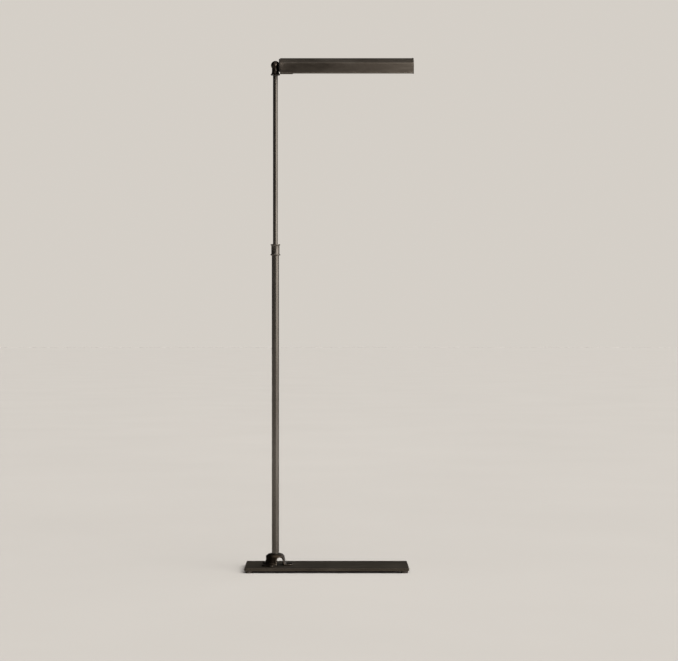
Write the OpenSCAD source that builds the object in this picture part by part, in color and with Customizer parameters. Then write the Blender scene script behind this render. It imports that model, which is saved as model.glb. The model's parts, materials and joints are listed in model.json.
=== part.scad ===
// Pharmacy floor lamp: a flat base plate, a telescoping pole and a long trough shade.
// Millimetres, +Z up. The origin is on the floor, in the middle of the lamp's length and depth.
// Left is -X and front is -Y. The shade reaches out to the right, above the base plate.

/* [Base plate] */
// Length of the base plate
plate_len = 424; // [380:1:440]
// Depth of the base plate, front to back
plate_dep = 150; // [130:1:200]
// Thickness of the base plate
plate_thk = 6.5; // [6.5:0.5:10]
// Radius of the plate's corners in plan
plate_corner_r = 4; // [1:0.5:6]
// Distance from the plate's left end to the pole's axis
pole_inset = 78; // [60:1:100]

/* [Feet] */
// Diameter of a foot
foot_d = 18; // [16:1:22]
// Height of a foot
foot_h = 6; // [6:0.5:8]
// Distance from the plate's ends to the middle of a foot
foot_inset_x = 12; // [11:1:15]
// Distance from the plate's long edges to the middle of a foot
foot_inset_y = 11; // [11:1:15]

/* [Stem bracket] */
// Outer radius of the bell at the plate
bell_base_r = 28.8; // [28:0.2:30]
// Reach of each toe from the pole's axis
toe_reach = 45; // [42:1:50]
// Width of each toe
toe_w = 36; // [32:1:38]
// Width of each arched opening
arch_w = 20; // [16:1:21]
// Height of each arched opening
arch_h = 21; // [18:1:22]

/* [Pole] */
// Outer diameter of the lower tube
lower_d = 19; // [18.6:0.1:19.2]
// Outer diameter of the mast, the upper tube
upper_d = 12.7; // [12:0.1:12.8]
// Height of the collar's lower face above the floor
collar_z = 819.6; // [780:0.2:860]
// Height of the mast's upper end above the floor
mast_top_z = 1290.3; // [1250:0.1:1320]
// How far the mast still pulls up before it meets its stop
mast_up_travel = 120; // [60:5:150]

/* [Shade] */
// Length of the shade
shade_len = 347.3; // [300:0.1:360]
// Depth of the shade, front to back
shade_dep = 70; // [68:1:80]
// Width of the shade's flat top
top_w = 32; // [28:1:36]
// Height of the shade's upright sides
skirt_h = 27.7; // [26:0.1:30]
// Rise of the shade's sloping bevels
bevel_h = 10.9; // [10:0.1:14]
// Thickness of the shade's sheet
sheet_t = 1.2; // [1:0.1:1.4]
// Roll of the shade about its pivot, front edge down
shade_roll = 10; // [0:1:20]

/* [Hidden] */

$fn = 64;
over = 1;           // how far a cutting tool reaches past the surface that it cuts
run_gap = 0.05;     // radial clearance of a running fit
slide_gap = 0.07;   // radial clearance of a long sliding fit
close_gap = 0.02;   // radial clearance of a close fit
free_gap = 0.3;     // gap between faces that move past each other
arc_steps = 8;      // straight pieces in a quarter-round of an outline

// Where things stand
shade_x0 = 12.7;    // the shade's inner end, measured from the pole's axis
shade_x1 = shade_x0 + shade_len;
pole_x = (pole_inset - shade_x1) / 2;
plate_x0 = pole_x - pole_inset;
plate_z0 = foot_h;
plate_z1 = foot_h + plate_thk;

// Finishes
bronze = [0.24, 0.21, 0.18];
dark_bronze = [0.16, 0.13, 0.11];
tube_metal = [0.34, 0.32, 0.30];
steel = [0.62, 0.62, 0.60];
brass = [0.72, 0.58, 0.30];
nylon = [0.13, 0.12, 0.11];
rubber = [0.14, 0.11, 0.09];
phenolic = [0.12, 0.10, 0.09];
glass = [0.90, 0.93, 0.95, 0.5];

// Base fasteners and the hole for the cord
foot_screw_r = 1.6;
foot_screw_up = 4.5;
foot_recess_r = 4.4;
foot_recess_h = 3;
foot_edge = 1.2;
cross_w = 4;        // cross-head drive
cross_t = 1;
cross_deep = 1;
screw_head_r = 3.6;
screw_head_h = 2.2;
boss_at = 22.4;
boss_r = 4.2;
boss_h = 10;
boss_screw_r = 1.6;
boss_screw_up = 7.5;
sink_r = 4;
sink_h = 2.4;
key_r = 1.4;        // hexagon drive
key_deep = 1.4;
grommet_r = 6.5;
grommet_flange_r = 8;
grommet_flange_h = 1.2;
grommet_lip_r = 7.1;
grommet_lip_h = 0.8;
grommet_taper = 0.4;
cord_r = 3.5;

// Bell of the stem bracket
crown_r = 13.4;     // radius of the bell's flat top
shoulder_r = 11.1;  // radius of the bell's round shoulder
shoulder_z = 18.8;
bell_h = shoulder_z + shoulder_r;
bell_wall = 3.6;
bead_out = 1.1;     // how far the bead round each arch stands proud
bead_w = 4.3;
toe_t = 3.2;
toe_fillet = 5;
toe_corner = 8;
toe_fillet_out = 3.2; // the fillet's middle, outside the bell

// Lower tube and what holds it
tube_z0 = plate_z1 + bell_h;
collar_h = 29.7;
collar_z1 = collar_z + collar_h;
tube_z1 = collar_z + 18.4;
lower_r = lower_d / 2;
lower_bore = lower_r - 1.5;
plug_h = 22;
nipple_r = 5;
nipple_over = 19.5; // how far the nipple reaches above the crown
nipple_under = 1;   // and below its nut
washer_t = 1.2;
washer_r = 11;
nut_h = 4;
nut_r = 8.6;        // across the corners

// Collar, collet and mast
collar_r = 10.75;
top_lip_r = 12.5;
top_lip_h = 3;
low_lip_r = 13.25;
low_lip_h = 4;
low_lip_bevel = 1.2;
low_lip_edge = 0.8;
top_lip_slope = 1;  // half the height of the cone under the top lip
top_lip_bevel = 0.8;
top_lip_edge = 0.6;
upper_r = upper_d / 2;
upper_bore = upper_r - 1.2;
collet_down = 12;
collet_up = 8;
collet_r0 = 9;
collet_r1 = 7.6;
collet_slit = 1.2;
bush_h = 60;
mast_z0 = tube_z1 - collet_down - over - mast_up_travel - bush_h;

// Cap on the mast, and the head that turns on it
cap_flange_r = 12.4;
cap_flange_h = 4.3;
cap_edge_h = 2.4;
cap_bevel = 0.8;
cap_plug_h = 20;
spigot_r = 6.5;
spigot_h = 14.4;
groove_r = 5.3;
groove_h = 4;
cap_z1 = mast_top_z + cap_flange_h;
head_z0 = cap_z1 + run_gap;
neck_r = 9.1;
skirt_r = 10.4;
neck_flare_h = 3.4;
neck_flare_from = 233; // where the flare's arc starts, in degrees
spigot_room = 0.5;
ball_r = 11.7;
pivot_z = mast_top_z + 25.9;
ball_flat_x = 9.25;
wire_r = 3.5;
set_screw_z = cap_z1 + 5.4;
set_screw_r = 1.65;
set_screw_turn = 261;
set_screw_sunk = 0.4;
set_key_r = 0.9;
set_key_deep = 2;

// Pivot stack, from the ball outwards, measured from the pole's axis
stem_r = 4;
stem_bore = 2.6;
stem_x0 = 3.8;
disc_r = 17;
plate_t = 1.5;
inner_x = shade_x0 + plate_t + run_gap;
inner_t = 1;
stop_x = inner_x + inner_t;
stop_t = 1.2;
spring_x = stop_x + stop_t;
spring_t = 1.25;
nut_x = spring_x + spring_t;
pivot_nut_t = 4.5;
pivot_nut_r = 7.5;
stem_x1 = nut_x + pivot_nut_t + 2.3;
hub_r = 7;
lug_r = 11.5;
lug_from = 190;
lug_to = 355;
pin_at = 9.6;
pin_r = 1.2;
pin_past = 0.5;     // how far the pin reaches past the stop washer
spring_leaf = 0.6;

// Shade outline, measured from the pivot
half_dep = shade_dep / 2;
half_top = top_w / 2;
shade_low = -20.1;
crease_z = shade_low + skirt_h;
shade_top = crease_z + bevel_h;
skirt_turn = atan2(half_dep - half_top, bevel_h);
hem_out = 0.8;
hem_h = 2.6;
rim_t = 2.6;
rim_w = 3.2;
web_t = 1.4;
cap_lip = 6;
cover_len = 33;
cover_t = 1.7;
cover_x1 = shade_x0 + cover_len;
tab_y = 24;
tab_w = 10;
tab_len = 8;
tab_t = 1.5;
cover_screw_r = 1.2;
cover_sink_r = 2.8;
cover_screw_past = 1.5;
slot_w = 0.6;
cover_screw_xs = [shade_x0 + plate_t + tab_len / 2, cover_x1 - plate_t - tab_len / 2];
bracket_x = cover_x1 - plate_t;

// Lamp socket and bulb
bulb_z = -2.5;
socket_x0 = 29.5;
socket_r = 16.5;
barrel_r = 15.2;
barrel_x1 = cover_x1 + 15;
shell_r = 13.9;
shell_t = 0.5;
shell_x0 = socket_x0 + 5;
ring_r = 17.4;
ring_t = 5;
shell_short = 1;    // how far the shell stops inside the barrel
tongue_r = 4;
tongue_t = 0.8;
thread_r = 13.1;
thread_dip = 0.8;
thread_pitch = 3.6;
thread_turns = 5;
base_x0 = shell_x0 + 3.5;
tip_r = 3.5;        // the base's centre contact
tip_h = 1.6;
tip_edge = 1;
base_end_r = 9;
base_end_t = 2;
base_wall = 0.5;
neck_x = base_x0 + thread_turns * thread_pitch + 3;
glass_r = 15.5;
glass_neck_r = 12;
glass_t = 0.8;
glass_neck_len = 3;
glass_shoulder_x = neck_x + 12;
glass_dome_x = glass_shoulder_x + 88;
filament_y = 5;
stem_glass_r = 3;
wire_t = 1;
stem_glass_len = 22;
wire_clear = 3;     // from the glass stem to the first cross bar
wire_end = 4;       // from the last cross bar to the dome

// Reflector
liner_gap = 0.6;
liner_t = 0.5;
liner_low = shade_low + 3;

// Push-button switch behind the shade
switch_x = 22.5;
switch_z = -6;
switch_w = 12;
switch_y0 = 14;
bush_r = 4;
bush_out = 2.6;
button_r = 2.6;
button_in = 4;
button_out = 4;
press_travel = 1.5;
hex_r = 6.8;
hex_t = 1.8;
lead_r = 0.9;
lead_bend = 7;
lead_apart = 3;     // from the switch's middle to each lead
button_edge = 1;
button_bevel = 0.8;

// Points along an arc in an outline
function arc(cx, cy, r, from, to, n = arc_steps) =
    [for (i = [0:n]) [cx + r * cos(from + (to - from) * i / n), cy + r * sin(from + (to - from) * i / n)]];

// One side of the trough outline, set in by t from the outer surface
function trough_side(t, low) = [
    [half_dep - t, low],
    [half_dep - t, crease_z - t * tan(skirt_turn / 2)],
    [half_top - t * tan((90 - skirt_turn) / 2), shade_top - t]
];

// Both sides of an outline, from the points of its right-hand side, lowest first
function both_sides(side) =
    concat(side, [for (i = [len(side) - 1:-1:0]) [-side[i][0], side[i][1]]]);

// The whole trough outline, closed across its open side
function trough(t, low) = both_sides(trough_side(t, low));

// The outer surface of the sheet, with its hem turned out along the lower edges
function hemmed_trough() = both_sides(concat(
    [
        [half_dep + hem_out, shade_low],
        [half_dep + hem_out, shade_low + hem_h]
    ],
    trough_side(0, shade_low + hem_h)));

module at_pole(z = 0) {
    translate([pole_x, 0, z]) children();
}

module in_shade() {
    translate([pole_x, 0, pivot_z]) rotate([shade_roll, 0, 0]) children();
}

module in_bulb() {
    in_shade() translate([0, 0, bulb_z]) children();
}

// A flat outline in Y and Z, drawn out along X
module along_x(x0, x1) {
    translate([x0, 0, 0]) rotate([90, 0, 90]) linear_extrude(x1 - x0) children();
}

// An outline of radius and length, turned about the X axis
module turned_x() {
    rotate([0, 90, 0]) rotate_extrude() children();
}

module rod_x(x0, x1, r) {
    translate([x0, 0, 0]) rotate([0, 90, 0]) cylinder(h = x1 - x0, r = r);
}

module ring_x(x0, x1, r, bore) {
    difference() {
        rod_x(x0, x1, r);
        rod_x(x0 - over, x1 + over, bore);
    }
}

module ring_z(z0, z1, r, bore) {
    difference() {
        translate([0, 0, z0]) cylinder(h = z1 - z0, r = r);
        translate([0, 0, z0 - over]) cylinder(h = z1 - z0 + 2 * over, r = bore);
    }
}

module foot_places() {
    for (x = [plate_x0 + foot_inset_x, plate_x0 + plate_len - foot_inset_x])
        for (y = [-1, 1] * (plate_dep / 2 - foot_inset_y))
            translate([x, y, 0]) children();
}

module three_ways(from = 0) {
    for (turn = [0, 120, 240]) rotate([0, 0, from + turn]) children();
}

// ---- Base ----

module plate_outline() {
    for (inset = [[plate_corner_r, 0], [0, plate_corner_r]])
        translate([plate_x0 + inset[0], inset[1] - plate_dep / 2])
            square([plate_len - 2 * inset[0], plate_dep - 2 * inset[1]]);
    for (x = [plate_x0 + plate_corner_r, plate_x0 + plate_len - plate_corner_r])
        for (y = [-1, 1] * (plate_dep / 2 - plate_corner_r))
            translate([x, y]) circle(r = plate_corner_r);
}

module base_plate() {
    color(bronze) difference() {
        translate([0, 0, plate_z0]) linear_extrude(plate_thk) plate_outline();
        foot_places() translate([0, 0, plate_z0 - over])
            cylinder(h = foot_screw_up + run_gap + over, r = foot_screw_r + run_gap);
        at_pole(plate_z0 - over) {
            cylinder(h = plate_thk + 2 * over, r = grommet_r);
            three_ways() translate([boss_at, 0, 0]) {
                cylinder(h = plate_thk + 2 * over, r = boss_screw_r + 2 * run_gap);
                translate([0, 0, over]) cylinder(h = sink_h, r1 = sink_r, r2 = boss_screw_r);
                cylinder(h = over, r = sink_r);
            }
        }
    }
}

module foot(x_side, y_side) {
    foot_r = foot_d / 2;
    foot_x = x_side < 0 ? plate_x0 + foot_inset_x : plate_x0 + plate_len - foot_inset_x;
    color(rubber) translate([foot_x, y_side * (plate_dep / 2 - foot_inset_y), 0])
        rotate_extrude() polygon(concat(
            [[foot_recess_r, 0]],
            arc(foot_r - foot_edge, foot_edge, foot_edge, -90, 0),
            [
                [foot_r, foot_h],
                [foot_screw_r + run_gap, foot_h],
                [foot_screw_r + run_gap, foot_recess_h],
                [foot_recess_r, foot_recess_h]
            ]));
}

module foot_front_left() { foot(-1, -1); }

module foot_front_right() { foot(1, -1); }

module foot_rear_left() { foot(-1, 1); }

module foot_rear_right() { foot(1, 1); }

module foot_screws() {
    color(steel) foot_places() difference() {
        union() {
            translate([0, 0, foot_recess_h - screw_head_h]) cylinder(h = screw_head_h, r = screw_head_r);
            cylinder(h = plate_z0 + foot_screw_up, r = foot_screw_r);
        }
        for (turn = [0, 90]) rotate([0, 0, turn]) translate([-cross_w / 2, -cross_t / 2, -over])
            cube([cross_w, cross_t, foot_recess_h - screw_head_h + over + cross_deep]);
    }
}

// Outer body of the bell, grown by a margin
module bell(grow) {
    rotate_extrude() polygon(concat(
        [[0, 0], [bell_base_r + grow, 0]],
        arc(crown_r, shoulder_z, shoulder_r + grow, 0, 90),
        [[0, bell_h + grow]]));
}

module bell_hollow() {
    rotate_extrude() polygon(concat(
        [[0, -over], [bell_base_r - bell_wall, -over], [bell_base_r - bell_wall, 0]],
        arc(crown_r, shoulder_z, shoulder_r - bell_wall, 0, 90),
        [[0, bell_h - bell_wall]]));
}

module toe_outline() {
    translate([0, -toe_w / 2]) square([toe_reach - toe_corner, toe_w]);
    translate([0, toe_corner - toe_w / 2]) square([toe_reach, toe_w - 2 * toe_corner]);
    for (y = [-1, 1] * (toe_w / 2 - toe_corner))
        translate([toe_reach - toe_corner, y]) circle(r = toe_corner);
}

// Three toes that sweep out of the bell's foot and lie flat on the plate
module toes() {
    fillet_r = bell_base_r + toe_fillet_out;
    intersection() {
        rotate_extrude() polygon(concat(
            [[boss_at, 0], [toe_reach + over, 0], [toe_reach + over, toe_t]],
            arc(fillet_r, toe_t + toe_fillet, toe_fillet, 270, 180),
            [[boss_at, toe_t + toe_fillet]]));
        three_ways() linear_extrude(toe_t + toe_fillet + over) toe_outline();
    }
}

module arch(w, h) {
    along_x(0, toe_reach + 2 * over) {
        translate([-w / 2, -over]) square([w, h - w / 2 + over]);
        translate([0, h - w / 2]) circle(r = w / 2);
    }
}

// Raised bead that frames each arched opening
module arch_beads() {
    intersection() {
        difference() {
            bell(bead_out);
            bell(-bead_out);
        }
        three_ways(60) arch(arch_w + 2 * bead_w, arch_h + bead_w);
    }
}

module stem_bracket() {
    color(dark_bronze) at_pole(plate_z1) difference() {
        union() {
            difference() {
                union() {
                    bell(0);
                    toes();
                    arch_beads();
                }
                bell_hollow();
            }
            three_ways() translate([boss_at, 0, 0]) cylinder(h = boss_h, r = boss_r);
        }
        three_ways(60) arch(arch_w, arch_h);
        three_ways() translate([boss_at, 0, -over])
            cylinder(h = boss_screw_up + run_gap + over, r = boss_screw_r + run_gap);
        cylinder(h = bell_h + 2 * over, r = nipple_r + run_gap);
    }
}

module bracket_screws() {
    color(steel) at_pole(plate_z0) three_ways() translate([boss_at, 0, 0]) difference() {
        union() {
            cylinder(h = sink_h - run_gap, r1 = sink_r - run_gap, r2 = boss_screw_r);
            cylinder(h = plate_thk + boss_screw_up, r = boss_screw_r);
        }
        translate([0, 0, -over]) cylinder(h = key_deep + over, r = key_r, $fn = 6);
    }
}

module cord_bushing() {
    hole_r = grommet_r - run_gap;
    color(nylon) at_pole() rotate_extrude() polygon([
        [cord_r, plate_z0 - grommet_lip_h],
        [hole_r, plate_z0 - grommet_lip_h],
        [grommet_lip_r, plate_z0],
        [hole_r, plate_z0],
        [hole_r, plate_z1],
        [grommet_flange_r, plate_z1],
        [grommet_flange_r - grommet_taper, plate_z1 + grommet_flange_h],
        [cord_r, plate_z1 + grommet_flange_h]
    ]);
}

module lower_tube() {
    color(tube_metal) at_pole() ring_z(tube_z0, tube_z1, lower_r, lower_bore);
}

module tube_plug() {
    color(steel) at_pole() ring_z(tube_z0, tube_z0 + plug_h, lower_bore - run_gap, nipple_r + run_gap);
}

module base_nipple() {
    nipple_z0 = tube_z0 - bell_wall - washer_t - nut_h - nipple_under;
    color(steel) at_pole() ring_z(nipple_z0, tube_z0 + nipple_over, nipple_r, cord_r);
}

module nipple_washer() {
    washer_z1 = tube_z0 - bell_wall;
    color(steel) at_pole() ring_z(washer_z1 - washer_t, washer_z1, washer_r, nipple_r + run_gap);
}

module nipple_nut() {
    nut_z0 = tube_z0 - bell_wall - washer_t - nut_h;
    color(steel) at_pole(nut_z0) difference() {
        cylinder(h = nut_h, r = nut_r, $fn = 6);
        translate([0, 0, -over]) cylinder(h = nut_h + 2 * over, r = nipple_r + run_gap);
    }
}

// ---- Telescoping pole ----

module mast_collet() {
    color(nylon) at_pole(tube_z1) difference() {
        rotate_extrude() polygon([
            [upper_r + run_gap, -collet_down],
            [lower_bore - run_gap, -collet_down],
            [lower_bore - run_gap, 0],
            [collet_r0, 0],
            [collet_r1, collet_up],
            [upper_r + run_gap, collet_up]
        ]);
        translate([-lower_r, -collet_slit / 2, -collet_down - over])
            cube([lower_r, collet_slit, collet_down + collet_up + 2 * over]);
    }
}

module lock_collar() {
    bore = lower_r + run_gap;
    seat_z = tube_z1 + free_gap;
    seat_top = seat_z + collet_up;
    color(tube_metal) at_pole() rotate_extrude() polygon([
        [bore, collar_z],
        [collar_r, collar_z],
        [low_lip_r, collar_z + low_lip_bevel],
        [low_lip_r, collar_z + low_lip_h - low_lip_edge],
        [collar_r, collar_z + low_lip_h],
        [collar_r, collar_z1 - top_lip_h - top_lip_slope],
        [top_lip_r, collar_z1 - top_lip_h + top_lip_slope],
        [top_lip_r, collar_z1 - top_lip_edge],
        [top_lip_r - top_lip_bevel, collar_z1],
        [upper_r + free_gap, collar_z1],
        [upper_r + free_gap, seat_top],
        [collet_r1 + free_gap, seat_top],
        [collet_r0 + free_gap, seat_z],
        [bore, seat_z]
    ]);
}

module upper_tube() {
    color(tube_metal) at_pole() ring_z(mast_z0, mast_top_z, upper_r, upper_bore);
}

module guide_bush() {
    color(nylon) at_pole() ring_z(mast_z0, mast_z0 + bush_h, lower_bore - slide_gap, upper_r + close_gap);
}

module mast_cap() {
    plug_r = upper_bore - run_gap;
    groove_z = set_screw_z - groove_h / 2;
    color(dark_bronze) at_pole() rotate_extrude() polygon([
        [cord_r, mast_top_z - cap_plug_h],
        [plug_r, mast_top_z - cap_plug_h],
        [plug_r, mast_top_z],
        [cap_flange_r - cap_bevel, mast_top_z],
        [cap_flange_r, mast_top_z + cap_bevel],
        [cap_flange_r, mast_top_z + cap_edge_h],
        [skirt_r, cap_z1],
        [spigot_r, cap_z1],
        [spigot_r, groove_z],
        [groove_r, groove_z],
        [groove_r, groove_z + groove_h],
        [spigot_r, groove_z + groove_h],
        [spigot_r, cap_z1 + spigot_h],
        [cord_r, cap_z1 + spigot_h]
    ]);
}

// ---- Head that turns on the mast ----

module set_screw_line() {
    at_pole(set_screw_z) rotate([0, 0, set_screw_turn]) children();
}

module swivel_head() {
    neck_top = pivot_z - sqrt(ball_r * ball_r - neck_r * neck_r);
    bore_top = cap_z1 + spigot_h + spigot_room;
    color(dark_bronze) difference() {
        at_pole() {
            translate([0, 0, pivot_z]) sphere(r = ball_r);
            rotate_extrude() polygon(concat(
                [[0, head_z0], [skirt_r, head_z0]],
                arc(neck_r + neck_flare_h, head_z0 + neck_flare_h, neck_flare_h, neck_flare_from, 180),
                [[neck_r, neck_top], [0, neck_top]]));
        }
        at_pole(head_z0 - over) cylinder(h = bore_top - head_z0 + over, r = spigot_r + run_gap);
        at_pole(bore_top - over) cylinder(h = pivot_z - bore_top + over, r = wire_r);
        at_pole(pivot_z) {
            rod_x(0, ball_r + over, stem_r + close_gap);
            translate([ball_flat_x, -ball_r, -ball_r]) cube(2 * ball_r);
        }
        set_screw_line() rod_x(spigot_r - over, ball_r, set_screw_r + close_gap);
    }
}

module neck_set_screw() {
    color(dark_bronze) set_screw_line() difference() {
        rod_x(groove_r + free_gap, neck_r - set_screw_sunk, set_screw_r);
        translate([neck_r - set_key_deep, 0, 0]) rotate([0, 90, 0])
            cylinder(h = set_key_deep + over, r = set_key_r, $fn = 6);
    }
}

module pivot_nipple() {
    color(steel) at_pole(pivot_z) ring_x(stem_x0, stem_x1, stem_r, stem_bore);
}

module friction_disc() {
    color(rubber) at_pole(pivot_z) ring_x(ball_flat_x, shade_x0 - run_gap, disc_r, stem_r + run_gap);
}

module inner_washer() {
    color(nylon) at_pole(pivot_z) ring_x(inner_x, stop_x, hub_r, stem_r + run_gap);
}

// Washer with a wide lug that the stop pin meets at either end of the shade's roll
module stop_washer() {
    color(steel) at_pole(pivot_z) difference() {
        union() {
            rod_x(stop_x, stop_x + stop_t, hub_r);
            translate([stop_x, 0, 0]) rotate([90, 0, 90]) rotate([0, 0, lug_from])
                rotate_extrude(angle = lug_to - lug_from) square([lug_r, stop_t]);
        }
        rod_x(stop_x - over, stop_x + stop_t + over, stem_r + run_gap);
    }
}

module spring_washer() {
    color(steel) at_pole(pivot_z) turned_x() polygon([
        [stem_r + run_gap, spring_x],
        [stem_r + run_gap, spring_x + spring_leaf],
        [hub_r, spring_x + spring_t],
        [hub_r, spring_x + spring_t - spring_leaf]
    ]);
}

module pivot_nut() {
    color(steel) at_pole(pivot_z) difference() {
        translate([nut_x, 0, 0]) rotate([0, 90, 0]) cylinder(h = pivot_nut_t, r = pivot_nut_r, $fn = 6);
        rod_x(nut_x - over, nut_x + pivot_nut_t + over, stem_r + run_gap);
    }
}

// ---- Shade ----

module switch_line() {
    translate([switch_x, 0, switch_z]) rotate([0, 0, 90]) children();
}

module shade_shell() {
    color(bronze) in_shade() difference() {
        along_x(shade_x0, shade_x1 - rim_t) difference() {
            polygon(hemmed_trough());
            polygon(trough(sheet_t, shade_low - over));
        }
        switch_line() rod_x(half_dep - 2 * over, half_dep + over, bush_r + run_gap);
    }
}

module plate_with_tabs(x0, tab_x0) {
    along_x(x0, x0 + plate_t) polygon(trough(sheet_t, shade_low));
    for (y = [-1, 1] * tab_y)
        translate([tab_x0, y - tab_w / 2, shade_low]) cube([tab_len, tab_w, tab_t]);
}

module tab_holes() {
    for (x = cover_screw_xs)
        for (y = [-1, 1] * tab_y)
            translate([x, y, shade_low - over]) cylinder(h = tab_t + 2 * over, r = cover_screw_r + run_gap);
}

module inner_end_plate() {
    color(bronze) in_shade() difference() {
        plate_with_tabs(shade_x0, shade_x0 + plate_t);
        rod_x(shade_x0 - over, shade_x0 + plate_t + over, stem_r + run_gap);
        tab_holes();
    }
}

module stop_pin() {
    color(steel) in_shade() translate([0, 0, pin_at])
        rod_x(shade_x0 + plate_t, stop_x + stop_t + pin_past, pin_r);
}

module outer_end_cap() {
    color(bronze) in_shade() {
        difference() {
            along_x(shade_x1 - rim_t, shade_x1) polygon(trough(-hem_out, shade_low - hem_out));
            along_x(shade_x1 - rim_t + web_t, shade_x1 + over)
                polygon(trough(rim_w - hem_out, shade_low + rim_w - hem_out));
        }
        along_x(shade_x1 - rim_t - cap_lip, shade_x1 - rim_t) difference() {
            polygon(trough(sheet_t, shade_low));
            polygon(trough(2 * sheet_t, shade_low - over));
        }
    }
}

module housing_cover() {
    color(bronze) in_shade() difference() {
        translate([shade_x0, -half_dep, shade_low - cover_t]) cube([cover_len, shade_dep, cover_t]);
        for (x = cover_screw_xs)
            for (y = [-1, 1] * tab_y)
                translate([x, y, shade_low - cover_t]) {
                    cylinder(h = cover_t + over, r = cover_screw_r + run_gap);
                    cylinder(h = cover_t, r1 = cover_sink_r, r2 = cover_screw_r);
                    translate([0, 0, -over]) cylinder(h = over, r = cover_sink_r);
                }
    }
}

module cover_screws() {
    color(steel) in_shade()
        for (x = cover_screw_xs)
            for (y = [-1, 1] * tab_y)
                translate([x, y, shade_low - cover_t]) difference() {
                    union() {
                        cylinder(h = cover_t - run_gap, r1 = cover_sink_r - run_gap, r2 = cover_screw_r);
                        cylinder(h = cover_t + tab_t + cover_screw_past, r = cover_screw_r);
                    }
                    translate([-cover_sink_r, -slot_w / 2, -over])
                        cube([2 * cover_sink_r, slot_w, over + slot_w]);
                }
}

// ---- Lamp holder, bulb and reflector ----

module socket_bracket() {
    color(steel) difference() {
        in_shade() difference() {
            plate_with_tabs(bracket_x, bracket_x - tab_len);
            tab_holes();
        }
        in_bulb() rod_x(bracket_x - over, cover_x1 + over, barrel_r + run_gap);
    }
}

module lamp_socket() {
    color(phenolic) in_bulb() difference() {
        union() {
            rod_x(socket_x0, bracket_x, socket_r);
            rod_x(bracket_x - over, barrel_x1, barrel_r);
        }
        rod_x(shell_x0, barrel_x1 + over, shell_r + run_gap);
    }
}

module socket_ring() {
    color(phenolic) in_bulb() ring_x(cover_x1, cover_x1 + ring_t, ring_r, barrel_r + run_gap);
}

module socket_shell() {
    color(brass) in_bulb() ring_x(shell_x0, barrel_x1 - shell_short, shell_r, shell_r - shell_t);
}

// Sprung tongue that presses on the bulb's centre contact
module socket_contact() {
    color(brass) in_bulb() {
        rod_x(shell_x0, shell_x0 + tongue_t, tongue_r);
        rod_x(shell_x0, base_x0 - tip_h, tip_h);
    }
}

module bulb_base() {
    thread = [for (i = [0:2 * thread_turns]) [
        i % 2 == 0 ? thread_r - thread_dip : thread_r,
        base_x0 + tip_edge + i * thread_pitch / 2
    ]];
    color(brass) in_bulb() difference() {
        turned_x() polygon(concat(
            [
                [0, base_x0 - tip_h],
                [tip_r, base_x0 - tip_h],
                [tip_r + tip_edge, base_x0 - tip_h + tip_edge],
                [base_end_r, base_x0]
            ],
            thread,
            [[thread_r - thread_dip, neck_x], [0, neck_x]]));
        rod_x(base_x0 + base_end_t, neck_x + over, thread_r - thread_dip - base_wall);
    }
}

// Outline of the bulb's envelope, set in by t
function envelope(t) = concat(
    [[0, neck_x + t], [glass_neck_r - t, neck_x + t], [glass_neck_r - t, neck_x + glass_neck_len]],
    [[glass_r - t, glass_shoulder_x]],
    arc(0, glass_dome_x, glass_r - t, 0, 90, 12));

module bulb_glass() {
    color(glass) in_bulb() turned_x() difference() {
        polygon(envelope(0));
        polygon(envelope(glass_t));
    }
}

// Glass stem, a wire cage on three cross bars, and the filament along its two sides
module bulb_filament() {
    stem_top = neck_x + stem_glass_len;
    first = stem_top + wire_clear;
    last = glass_dome_x - wire_end;
    color(steel) in_bulb() {
        rod_x(neck_x + glass_t, stem_top, stem_glass_r);
        rod_x(stem_top - over, last, wire_t / 3);
        for (x = [first, (first + last) / 2, last])
            translate([x - wire_t / 2, -filament_y - wire_t, -wire_t / 2])
                cube([wire_t, 2 * (filament_y + wire_t), wire_t]);
        for (y = [-1, 1] * filament_y)
            translate([0, y, 0]) rod_x(first, last, wire_t / 3);
    }
}

module reflector() {
    inset = sheet_t + liner_gap;
    color("white") in_shade() along_x(cover_x1 + liner_gap, shade_x1 - rim_t - cap_lip - liner_gap)
        difference() {
            polygon(trough(inset, liner_low));
            polygon(trough(inset + liner_t, liner_low - over));
        }
}

// ---- Switch ----

module switch_body() {
    inner_y = half_dep - sheet_t;
    color(phenolic) in_shade() difference() {
        union() {
            translate([switch_x - switch_w / 2, switch_y0, switch_z - switch_w / 2])
                cube([switch_w, inner_y - switch_y0, switch_w]);
            switch_line() rod_x(inner_y - over, half_dep + bush_out, bush_r);
        }
        switch_line() rod_x(half_dep - button_in - 2 * press_travel, half_dep + bush_out + over,
            button_r + run_gap);
    }
}

module switch_nut() {
    color(steel) in_shade() switch_line() difference() {
        translate([half_dep, 0, 0]) rotate([0, 90, 0]) cylinder(h = hex_t, r = hex_r, $fn = 6);
        rod_x(half_dep - over, half_dep + hex_t + over, bush_r + run_gap);
    }
}

// Two short leads from the switch to the back of the lamp socket
module switch_leads() {
    color("ivory") in_shade()
        for (z = [switch_z - lead_apart, switch_z + lead_apart])
            translate([socket_x0, switch_y0, z]) rotate([0, 0, 180])
                rotate_extrude(angle = 90) translate([lead_bend, 0]) circle(r = lead_r, $fn = 24);
}

module switch_button() {
    tip = half_dep + bush_out + button_out;
    color(brass) in_shade() switch_line() {
        rod_x(half_dep - button_in, tip - button_edge, button_r);
        translate([tip - button_edge, 0, 0]) rotate([0, 90, 0])
            cylinder(h = button_edge, r1 = button_r, r2 = button_r - button_bevel);
    }
}

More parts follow.
